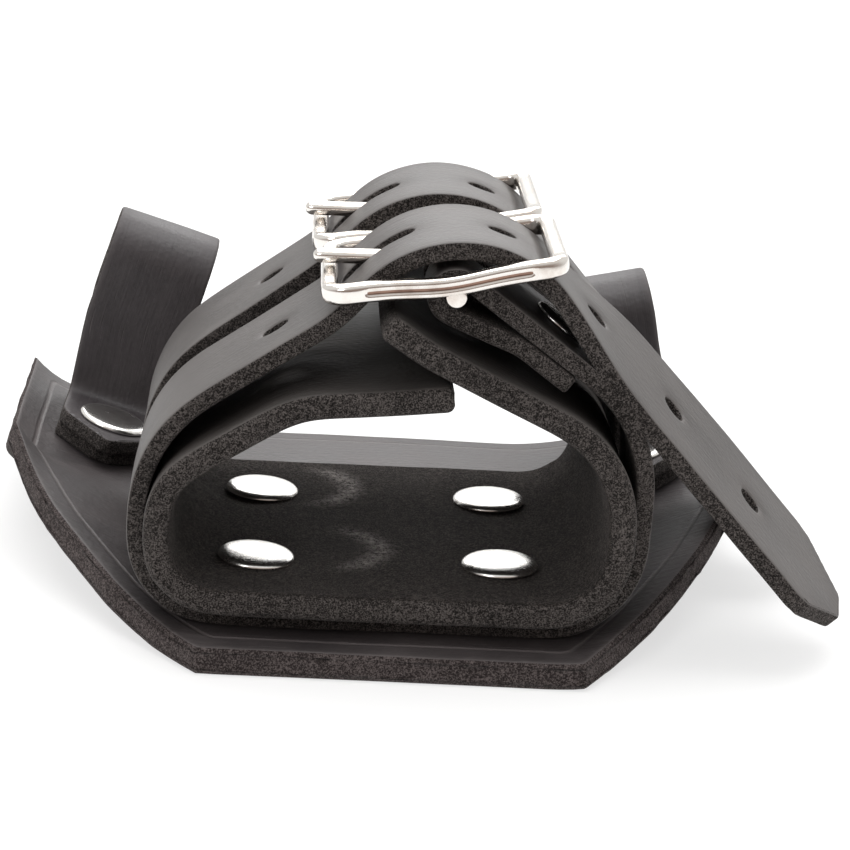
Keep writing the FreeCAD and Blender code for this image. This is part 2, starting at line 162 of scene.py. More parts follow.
def thicken(bm, t, edging, grain_up, rows=2, segments=2):
    """Gives a flat sheet its thickness about z = 0, its bevelled edges and its three faces."""
    rim = bm.verts.layers.float.new("rim")
    outline = kdtree.KDTree(len(bm.verts))
    for i, v in enumerate(bm.verts):
        if v.is_boundary:
            outline.insert(v.co, i)
    outline.balance()
    for v in bm.verts:
        v[rim] = math.exp(-outline.find(v.co)[2] / 1.6)
    for v in bm.verts:
        v.co.z = -0.5 * t
    made = bmesh.ops.extrude_face_region(bm, geom=bm.faces[:])["geom"]
    bmesh.ops.translate(bm, vec=(0, 0, t), verts=[g for g in made if isinstance(g, bmesh.types.BMVert)])
    bmesh.ops.recalc_face_normals(bm, faces=bm.faces)
    upright = [e for e in bm.edges if abs(e.verts[0].co.z - e.verts[1].co.z) > 0.5 * t]
    bmesh.ops.subdivide_edges(bm, edges=upright, cuts=rows, use_grid_fill=True)
    bm.normal_update()
    corners = [e for e in bm.edges if e.calc_face_angle(0) > 1.0
               and max(abs(f.normal.z) for f in e.link_faces) > 0.9]
    bmesh.ops.bevel(bm, geom=corners, offset=edging, segments=segments, profile=0.5, affect="EDGES",
                    material=-1, clamp_overlap=False)
    bm.normal_update()
    for f in bm.faces:
        up = f.normal.z > 0.8
        down = f.normal.z < -0.8
        f.material_index = CUT if not (up or down) else GRAIN if up == grain_up else FLESH
        f.smooth = True


def fray(bm, depth, keep=lambda v: True):
    """The cut sides wander a little and carry short fibres."""
    bm.normal_update()
    for v in bm.verts:
        flat = Vector((v.normal.x, v.normal.y, 0))
        if flat.length > 0.5 and keep(v):
            wander = noise.noise(v.co * 0.11) + 0.5 * noise.noise(v.co * 0.45 + Vector((7, 0, 0)))
            fibre = noise.noise(v.co * 1.7 + Vector((0, 31, 0)))
            v.co += flat.normalized() * depth * (wander + 0.5 * fibre)


# %% [markdown]
# ## Rolling a piece and handing it over
# The flat piece keeps a map of itself, called flat, so that streaks in the leather can follow
# the strip round its bends. Rolling moves each point along the line. A slow unevenness, the
# same for all leathers at the same place, keeps pieces that lie on one another together.

# %% Roll, finish and register
noise.seed_set(1)       # noise_vector draws its offsets from the clock until it has a seed


def uneven(p):
    """Slow unevenness of the leather at a place in millimetres."""
    slow = noise.noise_vector(p * 0.035)
    small = noise.noise_vector(p * 0.13 + Vector((11, 5, 3)))
    return slow * 0.34 + small * 0.07


def keep_flat_map(bm):
    uv = bm.loops.layers.uv.new("flat")
    for f in bm.faces:
        for loop in f.loops:
            loop[uv].uv = (loop.vert.co.x * 0.01, loop.vert.co.y * 0.01)


def roll(bm, line, y_mid=0.0, lift=None):
    """Rolls a flat piece along a line. lift gives extra height at a flat place."""
    keep_flat_map(bm)
    for v in bm.verts:
        p, n = line.at(v.co.x)
        h = v.co.z + (lift(v.co) if lift else 0.0)
        v.co = Vector((p.x + n.x * h, y_mid + v.co.y, p.y + n.y * h))


def finish_piece(bm, name, body, nodes, materials, smooth_levels=1):
    bmesh.ops.scale(bm, vec=(MM, MM, MM), verts=bm.verts)
    mesh = bpy.data.meshes.new(name)
    bm.to_mesh(mesh)
    bm.free()
    obj = bpy.data.objects.new(name, mesh)
    bpy.context.scene.collection.objects.link(obj)
    for m in materials:
        mesh.materials.append(m)
    if smooth_levels:
        mod = obj.modifiers.new("smooth surface", "SUBSURF")
        mod.levels = mod.render_levels = smooth_levels
    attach(obj, body)
    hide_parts(*nodes)
    print(name, "has", len(mesh.polygons), "faces before smoothing")
    return obj


# %% [markdown]
# ## Leather finishes
# Black bridle leather has two sides. The grain side is waxed and almost smooth, with a fine
# pebble, hairline scratches, and paler wear along its edges. The flesh side and the cut edges
# are raw fibre: rough, speckled and without gloss. Each finish is a small node tree. It reads
# the object's own coordinates for the pebble and the flat map for what runs along the strip.

# %% Node helpers
def finish(name, roughness, metallic=0.0, specular=0.5):
    m = bpy.data.materials.new(name)
    m.use_nodes = True
    shader = m.node_tree.nodes["Principled BSDF"]
    shader.inputs["Roughness"].default_value = roughness
    shader.inputs["Metallic"].default_value = metallic
    shader.inputs["Specular IOR Level"].default_value = specular
    return m, m.node_tree, shader


def add(tree, kind, links=(), **values):
    """One node: values set its fields, links feeds its inputs by name or number."""
    node = tree.nodes.new("ShaderNode" + kind)
    for key, value in values.items():
        setattr(node, key, value)
    for socket, source in dict(links).items():
        if isinstance(source, (int, float, tuple)):
            node.inputs[socket].default_value = source
        else:
            tree.links.new(source, node.inputs[socket])
    return node


def spots(tree, where, scale, detail=3.0, rough=0.6, stretch=(1, 1, 1)):
    """Noise between 0 and 1, with cells 1000 / scale millimetres wide."""
    placed = add(tree, "Mapping", {"Vector": where, "Scale": stretch})
    return add(tree, "TexNoise", {"Vector": placed.outputs[0], "Scale": scale, "Detail": detail,
                                  "Roughness": rough}).outputs[0]


def between(tree, value, low, high, out_low=0.0, out_high=1.0):
    return add(tree, "MapRange", {"Value": value, "From Min": low, "From Max": high, "To Min": out_low,
                                  "To Max": out_high}, interpolation_type="SMOOTHSTEP").outputs[0]


def blend_colour(tree, factor, a, b):
    node = add(tree, "Mix", data_type="RGBA")
    for socket, source in zip((node.inputs[0], node.inputs[6], node.inputs[7]), (factor, a, b)):
        if isinstance(source, (float, tuple)):
            socket.default_value = source if isinstance(source, float) else (*source, 1.0)
        else:
            tree.links.new(source, socket)
    return node.outputs[2]


def plus(tree, *terms):
    """Sum of (socket, weight) pairs."""
    total = None
    for socket, weight in terms:
        part = add(tree, "Math", {0: socket, 1: weight}, operation="MULTIPLY").outputs[0]
        total = part if total is None else add(tree, "Math", {0: total, 1: part}, operation="ADD").outputs[0]
    return total


def bump(tree, shader, height, depth_mm):
    """Height runs over 0 to 1; depth_mm is what that means on the surface."""
    node = add(tree, "Bump", {"Height": height, "Distance": depth_mm * MM, "Strength": 1.0})
    tree.links.new(node.outputs[0], shader.inputs["Normal"])


# %% Grain side and raw side
def grain_finish(name, dark, light, worn, roughness, pebble_mm=0.8, depth=0.10, streak=0.5, edge_wear_and_highlight=0.22):
    m, tree, shader = finish(name, roughness, specular=0.5)
    here = add(tree, "TexCoord").outputs["Object"]
    flat = add(tree, "UVMap", uv_map="flat").outputs[0]
    mottle = spots(tree, here, 90, 4, 0.6)
    cloud = spots(tree, here, 28, 2, 0.5)
    speck = spots(tree, here, 1500, 2, 0.7)
    pebble = add(tree, "TexVoronoi", {"Vector": here, "Scale": 1000 / pebble_mm, "Smoothness": 0.6},
                 feature="SMOOTH_F1").outputs[0]
    hair = spots(tree, flat, 42, 3, 0.65, (0.16, 3.2, 1))
    scratch = between(tree, spots(tree, flat, 60, 2, 0.5, (0.1, 4.0, 1)), 0.66, 0.74)
    rim = add(tree, "Attribute", attribute_name="rim").outputs["Fac"]
    inward = add(tree, "Attribute", attribute_name="inward").outputs["Fac"]
    off_line = add(tree, "Math", {0: plus(tree, (inward, 1.0), (speck, 0.3)), 1: 4.6}, operation="SUBTRACT")
    off_line = add(tree, "Math", {0: off_line.outputs[0]}, operation="ABSOLUTE").outputs[0]
    # The crease line shapes the groove in the bump, and in the colour it is a painted sheen along the ridge.
    crease_and_sheen = between(tree, off_line, 0.62, 0.10)
    tone = plus(tree, (mottle, 0.75), (cloud, 0.55), (hair, streak))
    colour = blend_colour(tree, between(tree, tone, 0.55, 1.2), dark, light)
    # This pale blend covers real edge wear, scratches and specks, a painted sheen along the crease, and on
    # the plate a painted highlight along its lit edges.
    wear_and_sheen = plus(tree, (between(tree, rim, 0.35, 0.98), edge_wear_and_highlight), (scratch, 0.3),
                (between(tree, speck, 0.6, 0.75), 0.16), (crease_and_sheen, 0.30))
    colour = blend_colour(tree, wear_and_sheen, colour, worn)
    tree.links.new(colour, shader.inputs["Base Color"])
    shine = plus(tree, (mottle, 0.18), (hair, 0.12), (speck, 0.10), (rim, 0.15))
    rough = add(tree, "Math", {0: shine, 1: roughness - 0.2}, operation="ADD").outputs[0]
    tree.links.new(rough, shader.inputs["Roughness"])
    bump(tree, shader, plus(tree, (pebble, 0.5), (speck, 0.3), (hair, 0.9), (scratch, -0.5), (crease_and_sheen, -1.2)),
         depth)
    return m


def raw_finish(name, dark, light, depth=0.28, fibre_mm=0.42, rub=None):
    m, tree, shader = finish(name, 0.95, specular=0.10)
    shader.inputs["Sheen Weight"].default_value = 0.08
    shader.inputs["Sheen Roughness"].default_value = 0.6
    shader.inputs["Sheen Tint"].default_value = (0.7, 0.66, 0.64, 1.0)
    here = add(tree, "TexCoord").outputs["Object"]
    nap = spots(tree, here, 1000 / fibre_mm, 3, 0.75)
    tuft = spots(tree, here, 1300, 3, 0.65)
    cloud = spots(tree, here, 90, 3, 0.55)
    tone = plus(tree, (nap, 1.1), (tuft, 0.35), (cloud, 0.12))
    colour = blend_colour(tree, between(tree, tone, 0.68, 0.98), dark, light)
    if rub:
        rubbed = add(tree, "Attribute", attribute_name="rub").outputs["Fac"]
        worn = between(tree, plus(tree, (nap, 0.6), (tuft, 0.6)), 0.45, 0.75)
        patch = add(tree, "Math", {0: rubbed, 1: worn}, operation="MULTIPLY").outputs[0]
        colour = blend_colour(tree, patch, colour, rub)
    tree.links.new(colour, shader.inputs["Base Color"])
    bump(tree, shader, plus(tree, (nap, 0.65), (tuft, 0.6)), depth)
    return m


# The plate's strong pale edge band is partly real edge wear and partly a painted highlight for the lit strip
# along its front edge.
PLATE_GRAIN = grain_finish("waxed plate leather", (0.030, 0.025, 0.026), (0.075, 0.064, 0.064),
                           (0.17, 0.148, 0.146), 0.52, 1.1, 0.12, 0.25, 0.5)
STRAP_GRAIN = grain_finish("waxed strap leather", (0.034, 0.030, 0.029), (0.085, 0.077, 0.074),
                           (0.16, 0.145, 0.14), 0.47, 0.75, 0.08, 0.6)
LOOP_GRAIN = grain_finish("waxed loop leather", (0.026, 0.022, 0.024), (0.060, 0.052, 0.055),
                          (0.12, 0.105, 0.105), 0.50, 0.9, 0.08, 0.4)
CUFF_GRAIN = grain_finish("dull cuff leather", (0.026, 0.022, 0.020), (0.065, 0.057, 0.053),
                          (0.12, 0.11, 0.105), 0.60, 0.9, 0.11, 0.3)
RAW_EDGE = raw_finish("cut edge", (0.006, 0.005, 0.0045), (0.125, 0.111, 0.105), 0.34, 0.24)
RAW_PLATE_EDGE = raw_finish("cut plate edge", (0.016, 0.012, 0.012), (0.125, 0.105, 0.102), 0.24, 0.27)
SUEDE = raw_finish("flesh side", (0.004, 0.0032, 0.003), (0.085, 0.073, 0.067), 0.34, 0.27,
                   (0.36, 0.33, 0.315))

# %% [markdown]
# ## Nickel
# Rivets and buckles are steel with bright nickel plating. The metal is nearly white and slightly
# warm. Fine polishing lines and handling marks change its gloss from place to place, so the
# roughness is what varies, and the colour hardly does.

# %% Nickel finish
def nickel_finish(name, colour, dull, roughness):
    m, tree, shader = finish(name, roughness, 1.0)
    here = add(tree, "TexCoord").outputs["Object"]
    haze = spots(tree, here, 220, 4, 0.6)
    line = spots(tree, here, 700, 2, 0.6, (0.2, 2.5, 1))
    shade = blend_colour(tree, between(tree, haze, 0.42, 0.75), colour, dull)
    tree.links.new(shade, shader.inputs["Base Color"])
    gloss = plus(tree, (haze, 0.16), (line, 0.12))
    rough = add(tree, "Math", {0: gloss, 1: roughness - 0.14}, operation="ADD").outputs[0]
    tree.links.new(rough, shader.inputs["Roughness"])
    bump(tree, shader, plus(tree, (haze, 0.6), (line, 0.4)), 0.012)
    return m


CAP_NICKEL = nickel_finish("bright rivet nickel", (0.93, 0.92, 0.90), (0.84, 0.82, 0.78), 0.24)
BUCKLE_NICKEL = nickel_finish("polished buckle nickel", (0.86, 0.83, 0.79), (0.70, 0.63, 0.57), 0.17)
# Dark brown nickel for the buckle grooves: painted shade and a painted reflection of a dark warm room, not
# tarnish on the metal.
PAINTED_SHADE_GROOVE_NICKEL = nickel_finish("groove nickel with painted shade", (0.30, 0.19, 0.145), (0.16, 0.10, 0.08), 0.30)

# %% [markdown]
# ## The plate
# The plate is one thick piece of leather with six sides, of which the two slanted ones are a
# little bowed. A creasing tool has run a groove just inside its edge, and both wings are cupped
# upwards. It starts as one face that is made thick and edged. Only then is the whole solid
# sliced into narrow rows by planes, so that it can bend. Slicing last keeps the bevel straight
# and even. Each point knows how far it is from the nearest side, and the finish draws the
# groove from that, with a pale line along it that is painted sheen on its ridge.

# %% Plate
PLATE_T = 4.3
plate_corners = ((30.9, -37.5), (42.7, -20.4), (53.1, -1.9), (61.5, 17.0), (61.5, 71.0),
                 (-64.4, 71.0), (-63.8, 17.0), (-53.6, -2.2), (-41.2, -20.9), (-26.9, -37.5))
wing_left, wing_right = math.radians(17.0), math.radians(13.0)
mid = 0.5 * PLATE_T
plate_line = bent([(-31.3 - 45 * math.cos(wing_left), mid + 45 * math.sin(wing_left), 0), (-31.3, mid, 20.0),
                   (31.2, mid, 20.0), (31.2 + 45 * math.cos(wing_right), mid + 45 * math.sin(wing_right), 0)])
plate_line = plate_line.eased(6.0)
middle = min(range(len(plate_line.p)), key=lambda i: abs(plate_line.p[i].x))
plate_start = plate_line.s[middle] - plate_line.p[middle].x


def slice_up(bm, axis, pitch):
    """Cuts the whole solid by evenly spaced planes across one axis."""
    low = min(v.co[axis] for v in bm.verts)
    high = max(v.co[axis] for v in bm.verts)
    n = round((high - low) / pitch)
    across = Vector((0, 0, 0))
    across[axis] = 1
    for k in range(1, n):
        everything = bm.verts[:] + bm.edges[:] + bm.faces[:]
        bmesh.ops.bisect_plane(bm, geom=everything, dist=1e-5, plane_no=across,
                               plane_co=across * (low + (high - low) * k / n + 0.013))


bm = bmesh.new()
bm.faces.new([bm.verts.new((x, y, 0)) for x, y in plate_corners])
thicken(bm, PLATE_T, 0.9, True, rows=5, segments=3)
slice_up(bm, 0, 1.9)
slice_up(bm, 1, 2.6)
rim = bm.verts.layers.float["rim"]
inward = bm.verts.layers.float.new("inward")
for v in bm.verts:
    gaps = []
    for a, b in zip(plate_corners, plate_corners[1:] + plate_corners[:1]):
        side = Vector(b) - Vector(a)
        gaps.append(abs(side.cross(Vector(v.co.xy) - Vector(a))) / side.length)
    v[inward] = min(gaps)
    v[rim] = math.exp(-v[inward] / 1.3)
fray(bm, 0.22, lambda v: v[rim] > 0.9 or v.co.z < mid - 0.5)
bmesh.ops.translate(bm, vec=(plate_start, 0, 0), verts=bm.verts)


def plate_lift(co):
    """The wings curl up towards their shoulders, ripple slightly and have a turned-up lip."""
    x = co.x - plate_start
    curl, lip = (4.2, 1.6) if x < 0 else (3.0, 0.4)
    front = min(1.0, max(0.0, (29.0 - co.y) / 14.0))
    h = curl * front * front * (3.0 - 2.0 * front) * max(0.0, (abs(x) - 30.0) / 31.0) ** 2
    h += lip * max(0.0, (abs(x) - 55.5) / 6.5) ** 2
    return h + 0.35 * (x / 60.0) ** 2 * math.sin(co.y * 0.055 + 1.0)


roll(bm, plate_line, 0.0, plate_lift)
for v in bm.verts:
    v.co += uneven(v.co) * min(1.0, max(0.0, v.co.z / 3.0))
finish_piece(bm, "base_plate_leather", "cuff_body", ["base_plate"],
             [PLATE_GRAIN, RAW_PLATE_EDGE, SUEDE], 0)

# %% [markdown]
# ## The cuff
# The cuff is the widest strip, 65 mm, of leather 4 mm thick. Its flesh side faces the hand. The
# right flap ends on top of the left one. It is cut flat, its edges are rounded more than on the
# straps, and its floor is pressed down a little where each rivet clamps it.

# %% Cuff
CUFF_T, CUFF_W = 4.0, 65.0
RIVET_X, RIVET_Y = 18.7, 15.8
RIVETS = [(x, y) for x in (-RIVET_X, RIVET_X) for y in (-RIVET_Y, RIVET_Y)]
RIVET_HOLE_R = 1.65
CUFF_FLOOR_Z = 9.2
cuff_line = bent([(9.2, 42.2, 0), (-13.5, 39.9, 16.0), (-33.3, 27.0, 9.0), (-33.3, CUFF_FLOOR_Z, 8.5),
                  (34.9, CUFF_FLOOR_Z, 10.0), (34.9, 34.3, 17.0), (4.5, 48.8, 9.0),
                  (-1.6, 52.9, 0)]).eased(3.0)
PRESSED = 0.22


def on_floor(line, x, floor_z):
    """Distance along a line to where it crosses x on the floor."""
    near = [i for i, p in enumerate(line.p) if abs(p.y - floor_z) < 0.6]
    i = min(near, key=lambda k: abs(line.p[k].x - x))
    return line.s[i] + x - line.p[i].x


cuff_holes = [(on_floor(cuff_line, x, CUFF_FLOOR_Z), y) for x, y in RIVETS]


def cuff_lift(co):
    """Pressed in round the rivets, and the long edges flare outwards a little."""
    h = 0.0
    if co.z > 0:
        for s, y in cuff_holes:
            gap = math.hypot(co.x - s, co.y - y)
            h -= PRESSED * (1.0 if gap < 6.4 else math.exp(-((gap - 6.4) / 2.2) ** 2))
    flare = max(0.0, (abs(co.y) - 24.0) / 8.5)
    on_the_floor = cuff_holes[0][0] - 14 < co.x < cuff_holes[-1][0] + 14
    return h - (0.0 if on_the_floor else 0.45) * flare ** 2


bm = blank(cuff_line.length, CUFF_W, 1.55)
for s, y in cuff_holes:
    punch(bm, s, y, RIVET_HOLE_R)
thicken(bm, CUFF_T, 1.15, False, rows=3, segments=3)
fray(bm, 0.20)
rub = bm.verts.layers.float.new("rub")
for v in bm.verts:
    mark = 0.0
    if v.co.z > 0:
        for row, dx, dy, size in ((1, 5.6, 3.0, 9.0), (0, 9.9, 5.3, 9.3)):
            s, y = cuff_holes[row]
            arm = Vector((v.co.x - s - dx, v.co.y - y - dy))
            side = max(0.0, arm.normalized().x) if arm.length else 0.0
            mark = max(mark, math.exp(-((arm.length - size) / 1.6) ** 2) * min(1.0, 1.7 * side ** 1.5))
    v[rub] = mark
roll(bm, cuff_line, 0.0, cuff_lift)
for v in bm.verts:
    v.co += uneven(v.co)
finish_piece(bm, "cuff_leather", "cuff_body", ["cuff"], [CUFF_GRAIN, RAW_EDGE, SUEDE])

# %% [markdown]
# ## The straps
# Both straps are the same 25 mm strip. It starts at the pointed tail, runs over the top, down the
# left side, under the cuff, up the right side and round the buckle's centre bar, and its end is
# riveted back on itself. The fold has a slot for the prong. The tail keeps some of its natural
# twist, and each punched hole has sunk edges from use.

# %% Straps
STRAP_T, STRAP_W = 2.8, 25.0
FOLD_R = 2.95
SLOPE = math.radians(36.0)
PINCH = math.radians(14.0)
PRONG_AT = 99.9             # from the tail tip to the hole that the prong stands in
HOLE_PITCH, HOLE_R = 19.0, 1.8
# middle in Y, centre bar in X and Z, shift of the upper run, twist of the tail
STRAP_FLOOR_Z = 5.75
strap_places = {"front": (-RIVET_Y, Vector((8.4, 57.0)), 0.0, 2.7),
                "rear": (RIVET_Y, Vector((7.0, 57.0)), -1.4, -0.6)}


def strap_line(bar, dx):
    """The whole strap, from tail tip to the end of the turned-back leg."""
    up = Vector((math.sin(SLOPE), math.cos(SLOPE)))
    down_slope = Vector((up.y, -up.x))
    upper = bar + up * FOLD_R
    x_left, x_right, floor_z = -36.9, 38.5, STRAP_FLOOR_Z
    shoulder = upper.y - (x_right - upper.x) * math.tan(SLOPE)
    run = bent([(71.9 + dx, 5.9, 0), (8.8 + dx, 73.4, 18.6), (-8.6 + dx, 52.6, 12.0), (x_left, 32.6, 22.0),
                (x_left, floor_z, 12.1), (x_right, floor_z, 13.6), (x_right, shoulder, 21.0),
                (upper.x, upper.y, 0)]).eased(3.0)
    fold = arc(bar, upper, math.pi + PINCH)
    away = Matrix.Rotation(PINCH, 2) @ -up
    lower = bar + away * FOLD_R
    closing = (FOLD_R * (1 + math.cos(PINCH)) - STRAP_T - 0.1) / math.sin(PINCH)
    knee = lower + Vector((math.cos(PINCH - SLOPE), math.sin(PINCH - SLOPE))) * closing
    end = knee + down_slope * 9.5
    back = bent([(lower.x, lower.y, 0), (knee.x, knee.y, 6.0), (end.x, end.y, 0)])
    return Line(run.p + fold + back.p), run.length, run.length + FOLD_R * (math.pi + PINCH), knee, down_slope


chape_seats = {}
for name, (y_mid, bar, dx, twist) in strap_places.items():
    line, fold_start, fold_end, knee, down_slope = strap_line(bar, dx)
    floor_holes = [on_floor(line, x, STRAP_FLOOR_Z) for x in (-RIVET_X, RIVET_X)]
    rivet_at = knee + down_slope * 4.9
    lapped = []
    for k, s in enumerate(line.s):
        lapped.append((abs((line.p[k] - rivet_at).dot(down_slope)) + (0 if s > fold_start - 30 else 999), s))
    main_leg = min(m for m in lapped if m[1] < fold_start)[1]
    back_leg = min(m for m in lapped if m[1] > fold_end)[1]
    pegs = [PRONG_AT + (k - 4) * HOLE_PITCH for k in (0, 1, 2, 3, 5)]
    bm = blank(line.length, STRAP_W, 1.25)
    for side in (-1, 1):
        trim(bm, (0, side * 3.0), (-1, side))
    ends = [v for v in bm.verts if v.is_boundary and v.co.x < 10.5]
    for _ in range(7):
        bmesh.ops.smooth_vert(bm, verts=ends, factor=0.5, use_axis_x=True, use_axis_y=True)
    for s in pegs:
        punch(bm, s, 0, HOLE_R, 0.35)
    punch(bm, PRONG_AT, 0, HOLE_R, 4.7)
    for s in floor_holes + [main_leg, back_leg]:
        punch(bm, s, 0, RIVET_HOLE_R)
    punch(bm, 0.5 * (fold_start + fold_end), 0, 2.0, 0.5 * (fold_end - fold_start) + 4.3)
    thicken(bm, STRAP_T, 0.42, False)
    fray(bm, 0.11)

    def strap_lift(co, pegs=pegs, twist=twist):
        h = 0.0
        if co.z < 0:
            for s in pegs:
                gap = max(0.0, math.hypot(co.x - s, co.y) - HOLE_R)
                h += 0.22 * math.exp(-(gap / 1.0) ** 2)
        free = min(1.0, max(0.0, (74.0 - co.x) / 24.0))
        free = free * free * (3.0 - 2.0 * free) * (1.0 - 0.12 * min(co.x, 50.0) / 50.0)
        return h - twist * free * co.y / (0.5 * STRAP_W)

    roll(bm, line, y_mid, strap_lift)
    for v in bm.verts:
        v.co += uneven(v.co)
    finish_piece(bm, name + "_strap_leather", "cuff_body", [name + "_strap"],
                 [STRAP_GRAIN, RAW_EDGE, SUEDE])
    chape_seats[name] = (rivet_at, down_slope)
    print(name, "strap is", round(line.length), "mm long with", len(pegs) + 1, "holes")

# %% [markdown]
# ## The keeper loops
# Each loop is one strip. It lies on the wing, turns up, over and down again, and ends in a
# pointed foot on top of its own start, with one rivet through both layers. It is rolled in its
# own upright plane and then stood on the sloping wing.

# %% Loops
LOOP_T, LOOP_W = 2.7, 18.0
LOOP_TIP = 10.8


def wing_matrix(side, rise):
    """Turns the loop's own axes, along, across and up, to its place on the wing."""
    up = Vector((-side * math.sin(rise), 0, math.cos(rise)))
    along = Vector((0, 1, 0))
    across = up.cross(along)
    seat = Vector((side * 46.5, 39.5, PLATE_T + (46.5 - 31.0) * math.tan(rise)))
    turn = Matrix((along, across, up)).transposed().to_4x4()
    return Matrix.Translation(seat + up * 0.05) @ turn


loop_axes = {}
for name, side, rise, height, sway in (("left", -1, wing_left, 36.0, 1.5),
                                       ("right", 1, wing_right, 31.5, 0.9)):
    foot_z = 1.5 * LOOP_T + 0.05
    line = bent([(-7.0, 0.5 * LOOP_T, 0), (26.0, 0.5 * LOOP_T, 4.5), (26.0, height, 5.5), (11.0, height, 5.5),
                 (11.0, foot_z, 3.4), (-LOOP_TIP, foot_z, 0)]).eased(1.5)
    bm = blank(line.length, LOOP_W, 1.3)
    for s in (-1, 1):
        trim(bm, (line.length, 0), (1, s))
        trim(bm, (0, s * 2.0), (-1, s))
    tip = [v for v in bm.verts if v.is_boundary and v.co.x > line.length - 10]
    for _ in range(4):
        bmesh.ops.smooth_vert(bm, verts=tip, factor=0.5, use_axis_x=True, use_axis_y=True)
    for s in (7.0, line.length - LOOP_TIP):
        punch(bm, s, 0, RIVET_HOLE_R)
    thicken(bm, LOOP_T, 0.45, False)
    fray(bm, 0.10)
    roll(bm, line)
    for v in bm.verts:
        v.co.y += sway * min(1.0, max(0.0, (v.co.z - 6.0) / 14.0))
    place = wing_matrix(side, rise)
    bmesh.ops.transform(bm, matrix=place, verts=bm.verts)
    for v in bm.verts:
        v.co += uneven(v.co) * min(1.0, v.co.z / 14.0)
    finish_piece(bm, name + "_loop_leather", "cuff_body", [name + "_loop"],
                 [LOOP_GRAIN, RAW_EDGE, SUEDE])
    loop_axes[name] = place

# %% [markdown]
# ## Rivet caps
# A double-cap rivet shows a shallow dome with a rolled rim. A dome is a turned shape, so half of
# its outline is spun once round its axis. The outline goes on under the rim and up into the
# socket for the post, so the cap is closed and sits on its post as a real one does.

# %% Rivet caps
def turned_cap(radius, height):
    """A cap seated at z = 0, spun about Z."""
    outline = [(0, 1.0), (0.3, 0.985), (0.58, 0.945), (0.78, 0.87), (0.90, 0.75), (0.965, 0.56), (1.0, 0.30),
               (0.99, 0.06), (0.95, 0.0), (0.6, 0.0)]
    pts = [(r * radius, h * height) for r, h in outline]
    pts += [(1.64, 0.0), (1.64, 0.72), (0.0, 0.74)]
    bm = bmesh.new()
    verts = [bm.verts.new((r, 0, h)) for r, h in pts]
    edges = [bm.edges.new(pair) for pair in zip(verts, verts[1:])]
    bmesh.ops.spin(bm, geom=verts + edges, cent=(0, 0, 0), axis=(0, 0, 1), dvec=(0, 0, 0),
                   angle=2 * math.pi, steps=40, use_merge=True, use_duplicate=False)
    bmesh.ops.remove_doubles(bm, verts=bm.verts, dist=1e-4)
    bmesh.ops.recalc_face_normals(bm, faces=bm.faces)
    for f in bm.faces:
        f.smooth = True
    return bm


def seat_cap(name, matrix, radius, height=1.3):
    bm = turned_cap(radius, height)
    bmesh.ops.transform(bm, matrix=matrix, verts=bm.verts)
    return finish_piece(bm, name + "_nickel", "cuff_body", [name], [CAP_NICKEL])


def facing(point, up):
    """Places a cap at a point with its axis along up."""
    return Matrix.Translation(point) @ Vector(up).to_track_quat("Z", "Y").to_matrix().to_4x4()


for row, y in (("front", -RIVET_Y), ("rear", RIVET_Y)):
    for side, x, lean in (("left", -RIVET_X, 0.045), ("right", RIVET_X, -0.03)):
        seat = Vector((x, y, 11.25 - PRESSED))
        seat_cap(f"cuff_rivet_cap_{row}_{side}", facing(seat + uneven(seat), (lean, 0, 1)), 6.0)
for row, (y_mid, bar, dx, twist) in strap_places.items():
    rivet_at, down_slope = chape_seats[row]
    up = Vector((-down_slope.y, down_slope.x))
    over = rivet_at + up * (1.5 * STRAP_T + 0.15)
    seat = Vector((over.x, y_mid, over.y))
    seat_cap("chape_rivet_cap_" + row, facing(seat + uneven(seat), (up.x, 0, up.y)), 4.5)
for side, place in loop_axes.items():
    seat = place @ Vector((0, 0, 2 * LOOP_T + 0.1))
    up = place.to_3x3() @ Vector((0, 0, 1))
    seat_cap(side + "_loop_rivet_cap", facing(seat + uneven(seat) * min(1.0, seat.z / 14.0), up), 6.0)

# %% [markdown]
# ## The buckles
# A centre-bar buckle is one ring with a bar across it. The ring is bent wire in spirit, so it is
# made like wire: a rounded square section is drawn along each side and spun round each corner,
# and the last end is merged with the first. The long sides dip towards the bar and have a
# shallow polished groove, whose faces are painted dark brown as shade and reflection. The prong
# is drawn the same way: spun round the bar for its eye, then drawn out to a tip that rests on
# the left side of the ring.

# %% Buckle rings
BAR_D, RING, RISE, TILT = 3.0, 2.6, 2.9, math.radians(10.5)
RING_LEFT, RING_RIGHT, RING_W, CORNER = 18.1, 15.6, 31.0, 2.7


def section(width, height, radius, segments=3):
    """A rounded rectangle in the plane of X and Z."""
    bm = bmesh.new()
    bmesh.ops.create_grid(bm, x_segments=1, y_segments=1, size=0.5)
    bmesh.ops.scale(bm, vec=(width, height, 1), verts=bm.verts)
    bmesh.ops.bevel(bm, geom=bm.verts[:], offset=radius, segments=segments, profile=0.5, affect="VERTICES",
                    material=-1)
    bmesh.ops.rotate(bm, cent=(0, 0, 0), matrix=Matrix.Rotation(math.pi / 2, 3, "X"), verts=bm.verts)
    bmesh.ops.delete(bm, geom=bm.faces[:], context="FACES_ONLY")
    return bm


def parts_of(geom, kind):
    return [g for g in geom if isinstance(g, kind)]


def draw_out(bm, edges, step, times=1):
    """Draws an open section along a straight run."""
    for _ in range(times):
        made = bmesh.ops.extrude_edge_only(bm, edges=edges)["geom"]
        bmesh.ops.translate(bm, vec=step, verts=parts_of(made, bmesh.types.BMVert))
        edges = parts_of(made, bmesh.types.BMEdge)
        edges = [e for e in edges if len(e.link_faces) == 1]
    return edges


def spin_on(bm, edges, centre, axis, angle, steps):
    """Carries an open section round a bend."""
    made = bmesh.ops.spin(bm, geom=edges, cent=centre, axis=axis, angle=angle, steps=steps,
                          use_duplicate=False)["geom_last"]
    return parts_of(made, bmesh.types.BMEdge)


